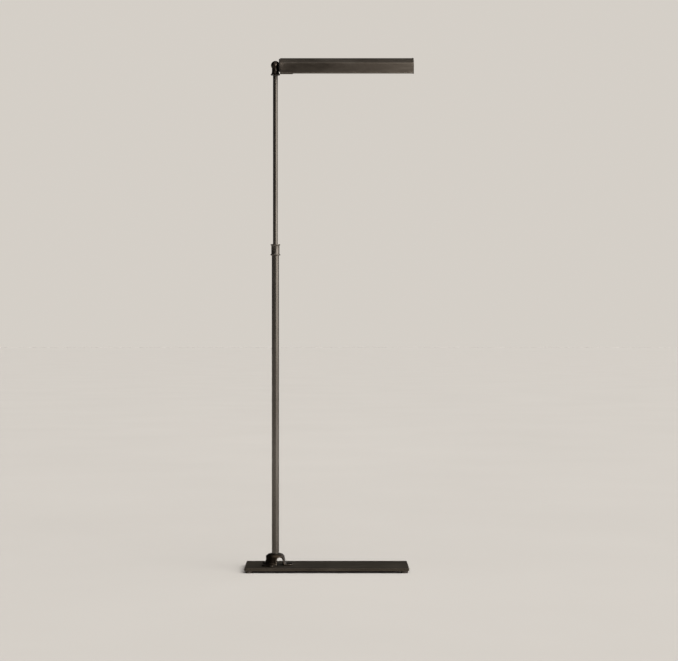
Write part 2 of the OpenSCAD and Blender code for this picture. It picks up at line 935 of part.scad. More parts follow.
base_plate();
foot_front_left();
foot_front_right();
foot_rear_left();
foot_rear_right();
foot_screws();
stem_bracket();
bracket_screws();
cord_bushing();
lower_tube();
tube_plug();
base_nipple();
nipple_washer();
nipple_nut();
mast_collet();
lock_collar();
upper_tube();
guide_bush();
mast_cap();
swivel_head();
neck_set_screw();
pivot_nipple();
friction_disc();
inner_washer();
stop_washer();
spring_washer();
pivot_nut();
shade_shell();
inner_end_plate();
stop_pin();
outer_end_cap();
housing_cover();
cover_screws();
socket_bracket();
lamp_socket();
socket_ring();
socket_shell();
socket_contact();
bulb_base();
bulb_glass();
bulb_filament();
reflector();
switch_body();
switch_nut();
switch_leads();
switch_button();
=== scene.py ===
"""Pharmacy floor lamp: turned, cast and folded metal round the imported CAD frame. Metres, +Z up."""

import json
import math

import bmesh
import bpy
from mathutils import Matrix, Vector


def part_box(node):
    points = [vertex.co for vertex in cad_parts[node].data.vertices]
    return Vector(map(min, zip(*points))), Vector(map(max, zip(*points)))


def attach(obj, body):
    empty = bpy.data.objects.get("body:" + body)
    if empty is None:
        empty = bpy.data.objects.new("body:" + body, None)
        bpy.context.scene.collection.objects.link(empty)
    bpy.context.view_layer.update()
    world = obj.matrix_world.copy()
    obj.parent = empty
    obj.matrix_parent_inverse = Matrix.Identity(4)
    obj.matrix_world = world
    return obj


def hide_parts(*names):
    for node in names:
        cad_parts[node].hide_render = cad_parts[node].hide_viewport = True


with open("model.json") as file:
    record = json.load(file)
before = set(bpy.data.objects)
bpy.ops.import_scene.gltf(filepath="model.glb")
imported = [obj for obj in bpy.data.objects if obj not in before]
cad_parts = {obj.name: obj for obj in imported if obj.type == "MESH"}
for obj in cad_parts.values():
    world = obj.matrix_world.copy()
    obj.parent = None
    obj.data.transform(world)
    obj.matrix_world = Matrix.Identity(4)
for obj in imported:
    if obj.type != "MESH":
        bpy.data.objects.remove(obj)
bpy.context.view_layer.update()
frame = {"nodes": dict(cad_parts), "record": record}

MM = 0.001


def middle(node):
    """Middle of a CAD node's box."""
    low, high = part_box(node)
    return (low + high) / 2


# Where things stand, read from the frame
PLATE_LOW, PLATE_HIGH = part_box("base_plate")
POLE_X = middle("lower_tube").x
PIVOT = Vector((POLE_X, 0, middle("pivot_nut").z))
SHADE_X0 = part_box("shade_shell")[0].x
SHADE_X1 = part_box("outer_end_cap")[1].x
CAP_T = SHADE_X1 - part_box("shade_shell")[1].x
CAP_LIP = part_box("shade_shell")[1].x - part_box("outer_end_cap")[0].x
SHADE_ROLL = math.radians(10)

# Sizes of the shade's folded sheet, measured from its pivot
SHEET = 1.2 * MM
HALF_DEPTH = 35 * MM
HALF_TOP = 16 * MM
LOW_EDGE = -20.1 * MM
CREASE = 7.6 * MM
TOP = 18.5 * MM
BEND = 2.4 * MM
HEM_OUT = 0.8 * MM
HEM_TALL = 2.6 * MM

# Drop of the bulb's axis below the pivot
BULB_DROP = 2.5 * MM

# Colour of the studio behind the lamp
BACKDROP = (0.663, 0.624, 0.573)


# ---- Camera ----

def make_camera():
    """Level camera in front of the base plate's middle, as in the photograph."""
    data = bpy.data.cameras.new("camera")
    data.sensor_width = 36
    data.lens = 91.5
    data.shift_x = 0.0181
    camera = bpy.data.objects.new("camera", data)
    camera.location = ((PLATE_LOW.x + PLATE_HIGH.x) / 2, -4.5, 0.624)
    camera.rotation_euler = (math.radians(90), 0, 0)
    bpy.context.scene.collection.objects.link(camera)
    bpy.context.scene.camera = camera


# ---- Shader building ----

def feed(tree, socket, value):
    """Joins a socket to another node's output, or sets it to a plain value."""
    if isinstance(value, bpy.types.NodeSocket):
        tree.links.new(value, socket)
    else:
        socket.default_value = value


def add(tree, kind, inputs=None, **settings):
    """A new node with its settings and inputs."""
    made = tree.nodes.new(kind)
    for key, value in settings.items():
        setattr(made, key, value)
    for key, value in (inputs or {}).items():
        feed(tree, made.inputs[key], value)
    return made


def rgba(colour):
    """A colour with full opacity."""
    return (*colour, 1.0)


def new_material(name):
    """An empty material with one shader joined to its output."""
    material = bpy.data.materials.new("aged_" + name)
    material.use_nodes = True
    tree = material.node_tree
    tree.nodes.clear()
    out = add(tree, "ShaderNodeOutputMaterial")
    shader = add(tree, "ShaderNodeBsdfPrincipled")
    tree.links.new(shader.outputs["BSDF"], out.inputs["Surface"])
    return material, tree, shader


def place(tree, stretch=(1, 1, 1)):
    """Position on the object, stretched so that a pattern runs along one axis."""
    where = add(tree, "ShaderNodeTexCoord").outputs["Object"]
    return add(tree, "ShaderNodeMapping", {"Vector": where, "Scale": stretch}).outputs["Vector"]


def cloud(tree, where, scale, detail, rough, twist=0.0):
    """Soft noise between 0 and 1."""
    inputs = {"Vector": where, "Scale": scale, "Detail": detail, "Roughness": rough, "Distortion": twist}
    return add(tree, "ShaderNodeTexNoise", inputs).outputs["Fac"]


def ramp(tree, value, stops):
    """Colours along a value, from (position, colour) pairs."""
    made = add(tree, "ShaderNodeValToRGB", {"Fac": value})
    points = made.color_ramp.elements
    while len(points) < len(stops):
        points.new(0.5)
    for point, (at, colour) in zip(points, stops):
        point.position = at
        point.color = rgba(colour)
    return made.outputs["Color"]


def spread(tree, value, low, high, to_low, to_high):
    """A value moved from one range to another, and held inside it."""
    inputs = {"Value": value, "From Min": low, "From Max": high, "To Min": to_low, "To Max": to_high}
    return add(tree, "ShaderNodeMapRange", inputs).outputs["Result"]


def mix(tree, factor, first, second):
    """Two colours mixed. The mix node keeps its colour sockets after those for plain values."""
    made = add(tree, "ShaderNodeMix", data_type="RGBA")
    for socket, value in ((made.inputs[0], factor), (made.inputs[6], first), (made.inputs[7], second)):
        feed(tree, socket, value)
    return made.outputs[2]


def sums(tree, operation, first, second):
    """Arithmetic on two values or outputs."""
    made = add(tree, "ShaderNodeMath", operation=operation)
    for socket, value in zip(made.inputs, (first, second)):
        feed(tree, socket, value)
    return made.outputs[0]


def edge_mask(tree, reach):
    """1 along sharp edges and 0 on open faces, from how far a rounded normal turns away."""
    rounded = add(tree, "ShaderNodeBevel", {"Radius": reach}, samples=4).outputs["Normal"]
    plain = add(tree, "ShaderNodeNewGeometry").outputs["Normal"]
    dot = add(tree, "ShaderNodeVectorMath", {0: rounded, 1: plain}, operation="DOT_PRODUCT")
    return spread(tree, dot.outputs["Value"], 0.995, 0.86, 0, 1)


def bump(tree, shader, height, strength, distance):
    """Fine relief from a height pattern."""
    made = add(tree, "ShaderNodeBump", {"Height": height, "Strength": strength, "Distance": distance})
    tree.links.new(made.outputs["Normal"], shader.inputs["Normal"])


def patina(name, dark, middle_tone, light, edge_wear_and_highlight_colour, metallic, rough, blotch, stretch, edge_wear_and_highlight_amount, edge_wear_and_highlight_reach,
           grain, grain_depth):
    """Aged metal: soft blotches, fine grain, uneven gloss and bright edges, which are partly rubbed wear
    and partly a painted highlight for light caught by edges.
    """
    material, tree, shader = new_material(name)
    where = place(tree, stretch)
    plain_where = place(tree)
    blotches = cloud(tree, where, blotch, 4, 0.6, 0.6)
    tone = ramp(tree, blotches, [(0.30, dark), (0.50, middle_tone), (0.72, light)])
    flecks = cloud(tree, plain_where, blotch * 9, 3, 0.7)
    tone = mix(tree, spread(tree, flecks, 0.45, 0.75, 0, 0.35), tone, rgba(light))
    smudges = cloud(tree, where, blotch * 2.3, 5, 0.65, 1.2)
    broken = cloud(tree, plain_where, blotch * 14, 3, 0.6)
    # Lighter colour along sharp edges: partly rubbed wear, partly a painted highlight standing in for the
    # light that edges catch.
    edge_wear_and_highlight = sums(tree, "MULTIPLY", edge_mask(tree, edge_wear_and_highlight_reach), spread(tree, broken, 0.32, 0.6, 0.25, 1))
    edge_wear_and_highlight = sums(tree, "MULTIPLY", edge_wear_and_highlight, edge_wear_and_highlight_amount)
    tone = mix(tree, edge_wear_and_highlight, tone, rgba(edge_wear_and_highlight_colour))
    tree.links.new(tone, shader.inputs["Base Color"])
    gloss = spread(tree, smudges, 0.3, 0.7, rough[0], rough[1])
    gloss = sums(tree, "SUBTRACT", gloss, sums(tree, "MULTIPLY", edge_wear_and_highlight, 0.12))
    tree.links.new(gloss, shader.inputs["Roughness"])
    shader.inputs["Metallic"].default_value = metallic
    bump(tree, shader, cloud(tree, plain_where, grain, 2, 0.6), 0.35, grain_depth)
    return material


def plate_bronze():
    return patina("plate_bronze", dark=(0.028, 0.022, 0.016), middle_tone=(0.042, 0.034, 0.025),
                  light=(0.062, 0.051, 0.040), edge_wear_and_highlight_colour=(0.20, 0.17, 0.14), metallic=0.75, rough=(0.40, 0.56),
                  blotch=18, stretch=(0.5, 1.4, 1.0), edge_wear_and_highlight_amount=0.9, edge_wear_and_highlight_reach=1.4 * MM, grain=900,
                  grain_depth=0.010 * MM)


def shade_bronze():
    # Its bright edge colour is partly a painted highlight for the light caught along the hem and the end
    # cap's rim.
    return patina("shade_bronze", dark=(0.024, 0.0185, 0.014), middle_tone=(0.037, 0.030, 0.0235),
                  light=(0.056, 0.048, 0.040), edge_wear_and_highlight_colour=(0.27, 0.245, 0.21), metallic=0.8, rough=(0.38, 0.50),
                  blotch=26, stretch=(0.40, 1.0, 1.6), edge_wear_and_highlight_amount=0.8, edge_wear_and_highlight_reach=1.2 * MM, grain=700,
                  grain_depth=0.006 * MM)


def cast_bronze():
    # Its bright edge colour is partly a painted highlight for the light caught by the bell's arch bead and
    # the tops of its feet.
    return patina("cast_bronze", dark=(0.012, 0.008, 0.0055), middle_tone=(0.021, 0.015, 0.0105),
                  light=(0.040, 0.031, 0.024), edge_wear_and_highlight_colour=(0.32, 0.28, 0.24), metallic=1.0, rough=(0.34, 0.48),
                  blotch=60, stretch=(1, 1, 1), edge_wear_and_highlight_amount=0.95, edge_wear_and_highlight_reach=2.0 * MM, grain=420,
                  grain_depth=0.05 * MM)


def tube_bronze():
    return patina("tube_bronze", dark=(0.080, 0.070, 0.060), middle_tone=(0.106, 0.095, 0.083),
                  light=(0.140, 0.128, 0.114), edge_wear_and_highlight_colour=(0.32, 0.29, 0.25), metallic=0.95, rough=(0.22, 0.28),
                  blotch=30, stretch=(1.2, 1.2, 0.15), edge_wear_and_highlight_amount=0.8, edge_wear_and_highlight_reach=0.6 * MM, grain=1500,
                  grain_depth=0.002 * MM)


def head_bronze():
    return patina("head_bronze", dark=(0.008, 0.006, 0.005), middle_tone=(0.014, 0.011, 0.009),
                  light=(0.026, 0.022, 0.018), edge_wear_and_highlight_colour=(0.16, 0.14, 0.12), metallic=1.0, rough=(0.34, 0.42),
                  blotch=70, stretch=(1, 1, 1), edge_wear_and_highlight_amount=0.7, edge_wear_and_highlight_reach=0.5 * MM, grain=1200,
                  grain_depth=0.003 * MM)


def zinc_steel():
    return patina("zinc_steel", dark=(0.24, 0.24, 0.235), middle_tone=(0.33, 0.33, 0.32),
                  light=(0.42, 0.42, 0.41), edge_wear_and_highlight_colour=(0.60, 0.60, 0.58), metallic=1.0, rough=(0.28, 0.42),
                  blotch=180, stretch=(1, 1, 1), edge_wear_and_highlight_amount=0.5, edge_wear_and_highlight_reach=0.3 * MM, grain=1500,
                  grain_depth=0.003 * MM)


def warm_brass():
    return patina("brass", dark=(0.30, 0.20, 0.075), middle_tone=(0.42, 0.29, 0.12),
                  light=(0.52, 0.38, 0.17), edge_wear_and_highlight_colour=(0.70, 0.55, 0.30), metallic=1.0, rough=(0.22, 0.36),
                  blotch=150, stretch=(1, 1, 1), edge_wear_and_highlight_amount=0.5, edge_wear_and_highlight_reach=0.3 * MM, grain=1500,
                  grain_depth=0.003 * MM)


def filament_steel():
    return patina("filament_steel", dark=(0.18, 0.17, 0.16), middle_tone=(0.26, 0.25, 0.24),
                  light=(0.36, 0.35, 0.34), edge_wear_and_highlight_colour=(0.5, 0.5, 0.5), metallic=1.0, rough=(0.30, 0.45),
                  blotch=400, stretch=(1, 1, 1), edge_wear_and_highlight_amount=0.2, edge_wear_and_highlight_reach=0.1 * MM, grain=2500,
                  grain_depth=0.001 * MM)


def moulded(name, dark, light, rough, blotch, grain_depth=0.03 * MM):
    """Plastic or rubber: faint mottling, dust in the gloss and a fine moulded grain."""
    material, tree, shader = new_material(name)
    where = place(tree)
    tone = ramp(tree, cloud(tree, where, blotch, 5, 0.6), [(0.35, dark), (0.68, light)])
    scuffs = edge_mask(tree, 0.6 * MM)
    scuffed = [min(1, 1.8 * c + 0.02) for c in light]
    tone = mix(tree, sums(tree, "MULTIPLY", scuffs, 0.35), tone, rgba(scuffed))
    tree.links.new(tone, shader.inputs["Base Color"])
    gloss = spread(tree, cloud(tree, where, blotch * 3, 4, 0.6), 0.3, 0.7, rough[0], rough[1])
    tree.links.new(gloss, shader.inputs["Roughness"])
    bump(tree, shader, cloud(tree, where, 1400, 2, 0.5), 0.4, grain_depth)
    return material


def foot_rubber():
    return moulded("foot_rubber", dark=(0.022, 0.016, 0.012), light=(0.046, 0.034, 0.026),
                   rough=(0.6, 0.82), blotch=220)


def disc_fibre():
    return moulded("disc_fibre", dark=(0.014, 0.012, 0.011), light=(0.032, 0.027, 0.023),
                   rough=(0.55, 0.75), blotch=500)


def black_nylon():
    return moulded("nylon", dark=(0.014, 0.013, 0.012), light=(0.030, 0.028, 0.026), rough=(0.35, 0.5),
                   blotch=160, grain_depth=0.01 * MM)


def dark_phenolic():
    return moulded("phenolic", dark=(0.010, 0.008, 0.007), light=(0.024, 0.019, 0.016), rough=(0.18, 0.34),
                   blotch=240, grain_depth=0.01 * MM)


def lead_cover():
    return moulded("lead_cover", dark=(0.52, 0.47, 0.35), light=(0.66, 0.61, 0.48), rough=(0.45, 0.6),
                   blotch=300, grain_depth=0.01 * MM)


def reflector_white():
    """Baked white enamel, warmed a little where the lamp has heated it."""
    material, tree, shader = new_material("reflector_white")
    where = place(tree, (0.5, 1, 1))
    heat = cloud(tree, where, 12, 4, 0.5, 0.4)
    tone = ramp(tree, heat, [(0.35, (0.80, 0.78, 0.73)), (0.7, (0.72, 0.68, 0.60))])
    tone = mix(tree, sums(tree, "MULTIPLY", edge_mask(tree, 0.4 * MM), 0.5), tone, rgba((0.5, 0.49, 0.47)))
    tree.links.new(tone, shader.inputs["Base Color"])
    gloss = spread(tree, cloud(tree, where, 40, 4, 0.6), 0.3, 0.7, 0.28, 0.42)
    tree.links.new(gloss, shader.inputs["Roughness"])
    bump(tree, shader, cloud(tree, place(tree), 260, 2, 0.5), 0.3, 0.03 * MM)
    return material


def clear_glass():
    """Thin blown glass with a trace of haze and slow waves."""
    material, tree, shader = new_material("clear_glass")
    where = place(tree)
    haze = cloud(tree, where, 60, 4, 0.6)
    tone = ramp(tree, haze, [(0.3, (0.97, 0.98, 0.98)), (0.75, (0.91, 0.93, 0.93))])
    tree.links.new(tone, shader.inputs["Base Color"])
    tree.links.new(spread(tree, haze, 0.35, 0.75, 0.02, 0.09), shader.inputs["Roughness"])
    shader.inputs["Transmission Weight"].default_value = 1.0
    shader.inputs["IOR"].default_value = 1.47
    bump(tree, shader, cloud(tree, where, 90, 2, 0.4), 0.15, 0.05 * MM)
    return material


def make_materials():
    """One material for each of the record's slots."""
    return {
        "plate_bronze": plate_bronze(),
        "shade_bronze": shade_bronze(),
        "cast_bronze": cast_bronze(),
        "tube_bronze": tube_bronze(),
        "head_bronze": head_bronze(),
        "zinc_steel": zinc_steel(),
        "brass": warm_brass(),
        "filament_steel": filament_steel(),
        "foot_rubber": foot_rubber(),
        "disc_fibre": disc_fibre(),
        "nylon": black_nylon(),
        "phenolic": dark_phenolic(),
        "lead_cover": lead_cover(),
        "reflector_white": reflector_white(),
        "clear_glass": clear_glass(),
    }


def dress_nodes(materials):
    """Gives each CAD node the detailed material of its slot."""
    for subpart in frame["record"]["subparts"]:
        node = frame["nodes"][subpart["node"]]
        for holder in node.material_slots:
            holder.material = materials[subpart["material_slot"]]


# ---- Mesh building ----

def new_piece(name, mesh, slot, body, replaced, materials, smooth_angle=35):
    """A finished mesh as a piece that rides on a body in place of CAD nodes."""
    piece = bpy.data.objects.new(name, mesh)
    bpy.context.scene.collection.objects.link(piece)
    mesh.materials.clear()
    mesh.materials.append(materials[slot])
    mesh.shade_smooth()
    mesh.set_sharp_from_angle(angle=math.radians(smooth_angle))
    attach(piece, body)
    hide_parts(*replaced)
    return piece


def mesh_from(name, points, faces):
    """A mesh with its faces turned outwards."""
    mesh = bpy.data.meshes.new(name)
    mesh.from_pydata([tuple(p) for p in points], [], faces)
    mesh.update()
    form = bmesh.new()
    form.from_mesh(mesh)
    bmesh.ops.recalc_face_normals(form, faces=form.faces)
    form.to_mesh(mesh)
    form.free()
    return mesh


def rounded(corners, steps=5):
    """An outline whose corners (a, b, radius) are turned into arcs."""
    line = []
    count = len(corners)
    for i, (a, b, radius) in enumerate(corners):
        here = Vector((a, b))
        before = Vector(corners[i - 1][:2]) - here
        after = Vector(corners[(i + 1) % count][:2]) - here
        if radius <= 0:
            line.append(here)
            continue
        half = before.angle(after) / 2
        cut = min(radius / math.tan(half), before.length * 0.49, after.length * 0.49)
        radius = cut * math.tan(half)
        centre = here + (before.normalized() + after.normalized()).normalized() * radius / math.sin(half)
        start = here + before.normalized() * cut - centre
        turn = start.angle_signed(here + after.normalized() * cut - centre)
        for k in range(steps + 1):
            line.append(centre + Matrix.Rotation(-turn * k / steps, 2) @ start)
    return line


def rings(outline, sections, close=True):
    """Faces that join `sections` rings of `outline` points each, in order."""
    faces = []
    for s in range(sections if close else sections - 1):
        for k in range(outline):
            a = s * outline + k
            b = s * outline + (k + 1) % outline
            shift = outline if s < sections - 1 else outline - sections * outline
            faces.append((a, b, b + shift, a + shift))
    return faces


def turned(name, corners, centre, axis="Z", segments=96, ripple=None, steps=5):
    """A closed outline of (radius, height, corner radius) turned about an axis through centre."""
    line = rounded(corners, steps)
    points = []
    for s in range(segments):
        angle = 2 * math.pi * s / segments
        for radius, height in line:
            r = radius + (ripple(angle, radius, height) if ripple else 0)
            flat = (r * math.cos(angle), r * math.sin(angle))
            spot = (height, *flat) if axis == "X" else (*flat, height)
            points.append(Vector(centre) + Vector(spot))
    return mesh_from(name, points, rings(len(line), segments))


def in_shade(x, y, z):
    """A point given along the shade, across it and above its pivot."""
    across = Matrix.Rotation(SHADE_ROLL, 2) @ Vector((y, z))
    return Vector((x, PIVOT.y + across.x, PIVOT.z + across.y))


def trough_side(inset, bend):
    """Right-hand half of the trough outline, lowest corner first, set in from the outer surface."""
    turn = math.atan2(HALF_DEPTH - HALF_TOP, TOP - CREASE)
    return [
        (HALF_DEPTH - inset, LOW_EDGE, 0),
        (HALF_DEPTH - inset, CREASE - inset * math.tan(turn / 2), bend),
        (HALF_TOP - inset * math.tan((math.pi / 2 - turn) / 2), TOP - inset, bend),
    ]


def mirrored(side):
    """A half outline followed by its mirror image."""
    return side + [(-y, z, bend) for y, z, bend in reversed(side)]


def swept_along_shade(name, outline, xs, wave=None):
    """A closed outline in (across, up), drawn along the shade through the given places."""
    points = []
    for x in xs:
        for y, z in outline:
            shift = wave(x, y, z) if wave else 0
            points.append(in_shade(x, y + shift, z))
    count = len(outline)
    faces = rings(count, len(xs), close=False)
    faces.append(tuple(range(count)))
    faces.append(tuple(range((len(xs) - 1) * count, len(xs) * count)))
    mesh = mesh_from(name, points, faces)
    form = bmesh.new()
    form.from_mesh(mesh)
    bmesh.ops.triangulate(form, faces=[f for f in form.faces if len(f.verts) > 4])
    form.to_mesh(mesh)
    form.free()
    return mesh


def sheet_outline(outer, inner, bottom=0.35 * MM):
    """The cut face of a folded sheet, from its outer and inner corners."""
    outer = [(y, z, r if r else bottom) for y, z, r in outer]
    inner = [(y, z, r if r else bottom) for y, z, r in reversed(inner)]
    return rounded(outer + inner)


def evenly(start, stop, count):
    """Values spaced evenly from start to stop."""
    return [start + (stop - start) * i / (count - 1) for i in range(count)]


def swept(name, route, radius, sides=8):
    """A round wire along a route, with closed ends."""
    points = []
    normal = Vector((0, 0, 1))
    for i, here in enumerate(route):
        ahead = (route[min(i + 1, len(route) - 1)] - route[max(i - 1, 0)]).normalized()
        normal = (normal - ahead * normal.dot(ahead)).normalized()
        other = ahead.cross(normal)
        for k in range(sides):
            turn = 2 * math.pi * k / sides
            points.append(here + radius * (math.cos(turn) * normal + math.sin(turn) * other))
    faces = rings(sides, len(route), close=False)
    faces.append(tuple(range(sides)))
    faces.append(tuple(range(len(points) - sides, len(points))))
    return mesh_from(name, points, faces)


def joined(name, meshes):
    """Several meshes as one."""
    form = bmesh.new()
    for mesh in meshes:
        form.from_mesh(mesh)
    whole = bpy.data.meshes.new(name)
    form.to_mesh(whole)
    form.free()
    return whole


def with_modifiers(source_mesh, name, *modifiers):
    """A mesh with modifiers applied; each is (kind, {setting: value})."""
    holder = bpy.data.objects.new(name + "_work", source_mesh)
    bpy.context.scene.collection.objects.link(holder)
    for kind, settings in modifiers:
        modifier = holder.modifiers.new(kind.lower(), kind)
        for key, value in settings.items():
            setattr(modifier, key, value)
    evaluated = holder.evaluated_get(bpy.context.evaluated_depsgraph_get())
    result = bpy.data.meshes.new_from_object(evaluated)
    result.name = name
    bpy.data.objects.remove(holder)
    return result


def soften(node_name, width, segments=3, angle=40):
    """Rounds a CAD node's sharp edges with modifiers, and leaves its mesh alone."""
    node = frame["nodes"][node_name]
    weld = node.modifiers.new("weld", "WELD")
    weld.merge_threshold = 0.002 * MM
    bevel = node.modifiers.new("bevel", "BEVEL")
    bevel.width = width
    bevel.segments = segments
    bevel.limit_method = "ANGLE"
    bevel.angle_limit = math.radians(angle)
    bevel.harden_normals = True
    bevel.miter_outer = "MITER_ARC"


def direction_of(node):
    """Level direction from the pole's axis to a CAD node."""
    spot = middle(node)
    return (spot - Vector((POLE_X, 0, spot.z))).normalized()


def box_cutter(centre, half):
    """A box to cut with, from its middle and half sizes."""
    form = bmesh.new()
    bmesh.ops.create_cube(form, size=2)
    bmesh.ops.scale(form, vec=half, verts=form.verts)
    bmesh.ops.translate(form, vec=centre, verts=form.verts)
    return cutter_object(form)


def rod_cutter(centre, direction, radius, half_length):
    """A round rod to cut with."""
    form = bmesh.new()
    bmesh.ops.create_cone(form, cap_ends=True, segments=48, radius1=radius, radius2=radius,
                          depth=2 * half_length)
    turn = Vector(direction).to_track_quat("Z", "Y").to_matrix().to_4x4()
    bmesh.ops.transform(form, matrix=Matrix.Translation(centre) @ turn, verts=form.verts)
    return cutter_object(form)


def cutter_object(form):
    """A form as an object that boolean modifiers can use."""
    mesh = bpy.data.meshes.new("cutter")
    form.to_mesh(mesh)
    form.free()
    cutter = bpy.data.objects.new("cutter", mesh)
    bpy.context.scene.collection.objects.link(cutter)
    return cutter


# Widths of the kept nodes' rounded edges
SOFT_EDGES = {
    "base_plate": 1.0 * MM,
    "foot_front_left": 0.4 * MM,
    "foot_front_right": 0.4 * MM,
    "foot_rear_left": 0.4 * MM,
    "foot_rear_right": 0.4 * MM,
    "housing_cover": 0.3 * MM,
    "socket_bracket": 0.25 * MM,
    "inner_end_plate": 0.25 * MM,
    "lamp_socket": 0.5 * MM,
    "switch_body": 0.5 * MM,
    "switch_nut": 0.25 * MM,
    "switch_button": 0.3 * MM,
    "friction_disc": 0.3 * MM,
    "pivot_nut": 0.3 * MM,
    "nipple_nut": 0.3 * MM,
    "foot_screws": 0.25 * MM,
    "bracket_screws": 0.15 * MM,
    "cover_screws": 0.1 * MM,
}


# ---- Base and pole ----

def cast_bracket(materials):
    """The three-legged bell, with the softened edges and slight unevenness of a casting."""
    source = frame["nodes"]["stem_bracket"].data.copy()
    voxel = 0.5 * MM
    second_voxel = 0.55 * MM
    mesh = with_modifiers(
        source, "bracket_casting",
        ("WELD", {"merge_threshold": 0.002 * MM}),
        ("REMESH", {"mode": "VOXEL", "voxel_size": voxel}),
        ("SMOOTH", {"factor": 0.5, "iterations": 24}),
        ("REMESH", {"mode": "VOXEL", "voxel_size": second_voxel}),
        ("SMOOTH", {"factor": 0.5, "iterations": 8}),
    )
    new_piece("bracket_casting", mesh, "cast_bronze", "base", ["stem_bracket"], materials, 60)


def turned_collar(materials):
    """Plain collar with a rounded lip at each end."""
    low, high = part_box("lock_collar")
    r_low = (high.x - low.x) / 2
    r_top = 12.5 * MM
    r_body = 10.75 * MM
    bore = 9.55 * MM
    mouth = 6.65 * MM
    corners = [
        (bore, low.z, 0.2 * MM),
        (r_body + 0.5 * MM, low.z, 0.4 * MM),
        (r_low, low.z + 1.3 * MM, 0.9 * MM),
        (r_low, low.z + 3.0 * MM, 0.8 * MM),
        (r_body, low.z + 4.2 * MM, 0.8 * MM),
        (r_body, high.z - 4.4 * MM, 0.9 * MM),
        (r_top, high.z - 2.4 * MM, 0.7 * MM),
        (r_top, high.z - 0.5 * MM, 0.5 * MM),
        (r_top - 0.9 * MM, high.z, 0.5 * MM),
        (mouth, high.z, 0.3 * MM),
        (mouth, high.z - 2.6 * MM, 0),
        (bore - 1.2 * MM, high.z - 3.0 * MM, 0),
        (bore, high.z - 10.5 * MM, 0),
    ]
    mesh = turned("collar_turned", corners, (POLE_X, 0, 0))
    new_piece("collar_turned", mesh, "tube_bronze", "lock_collar", ["lock_collar"], materials)


def turned_cap(materials):
    """Flanged cap on the mast, with the grooved spigot that the head turns on."""
    low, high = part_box("mast_cap")
    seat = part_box("upper_tube")[1].z
    flange = (high.x - low.x) / 2
    bore = 3.5 * MM
    spigot = 6.5 * MM
    groove_z = middle("neck_set_screw").z
    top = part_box("swivel_head")[0].z
    corners = [
        (bore, low.z, 0.3 * MM),
        (5.1 * MM, low.z, 0.4 * MM),
        (5.1 * MM, seat, 0),
        (flange - 0.9 * MM, seat, 0.5 * MM),
        (flange, seat + 1.0 * MM, 0.5 * MM),
        (flange, seat + 2.2 * MM, 0.6 * MM),
        (10.6 * MM, top - 0.35 * MM, 0.5 * MM),
        (9.6 * MM, top - 0.05 * MM, 0),
        (spigot, top - 0.05 * MM, 0.1 * MM),
        (spigot, groove_z - 2.0 * MM, 0.2 * MM),
        (5.3 * MM, groove_z - 2.0 * MM, 0.2 * MM),
        (5.3 * MM, groove_z + 2.0 * MM, 0.2 * MM),
        (spigot, groove_z + 2.0 * MM, 0.2 * MM),
        (spigot, high.z, 0.5 * MM),
        (bore, high.z, 0.3 * MM),
    ]
    mesh = turned("mast_cap_turned", corners, (POLE_X, 0, 0))
    new_piece("mast_cap_turned", mesh, "head_bronze", "mast", ["mast_cap"], materials)


def turned_head(materials):
    """Neck and ball in one turning, with a flat for the shade's pivot and a hole for the grub screw."""
    low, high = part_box("swivel_head")
    ball = 11.7 * MM
    neck = 9.1 * MM
    skirt = 10.4 * MM
    bore = 6.55 * MM
    bore_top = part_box("mast_cap")[1].z + 0.5 * MM
    flat_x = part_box("friction_disc")[0].x
    waist = low.z + 8.2 * MM
    blend = 5.0 * MM
    reach = ball + blend
    drop = math.sqrt(reach * reach - (neck + blend) ** 2)
    start = math.atan2(-drop, neck + blend)
    ball_line = [
        (ball * math.cos(start + (math.pi / 2 - start) * i / 28),
         PIVOT.z + ball * math.sin(start + (math.pi / 2 - start) * i / 28), 0)
        for i in range(29)
    ]
    join_z = PIVOT.z - drop
    curve = [
        (neck + blend - blend * math.cos(t), join_z + blend * math.sin(t), 0)
        for t in evenly(-0.15, math.pi / 2 - math.atan2(neck + blend, drop), 9)
    ]
    corners = [
        (bore, low.z, 0.15 * MM),
        (skirt, low.z, 0.25 * MM),
        (skirt - 0.15 * MM, low.z + 0.7 * MM, 0.4 * MM),
        (neck + 0.1 * MM, low.z + 3.2 * MM, 3.0 * MM),
        (neck, min(waist, join_z - 1.0 * MM), 0),
        *curve,
        *ball_line[1:-1],
        (0.02 * MM, high.z, 0),
        (0.02 * MM, bore_top, 0),
        (bore, bore_top, 0.3 * MM),
    ]
    solid = turned("head_blank", corners, (POLE_X, 0, 0), segments=112)
    cutters = [
        box_cutter(Vector((flat_x + ball, 0, PIVOT.z)), (ball, ball, ball)),
        rod_cutter(Vector((flat_x, 0, PIVOT.z)), (1, 0, 0), 4.02 * MM, 12 * MM),
        rod_cutter(middle("neck_set_screw"), direction_of("neck_set_screw"), 1.72 * MM, 6 * MM),
    ]
    mesh = with_modifiers(solid, "head_turned", *[
        ("BOOLEAN", {"operation": "DIFFERENCE", "object": c, "solver": "EXACT"}) for c in cutters])
    for cutter in cutters:
        bpy.data.objects.remove(cutter)
    new_piece("head_turned", mesh, "head_bronze", "head", ["swivel_head"], materials)


# ---- Shade ----

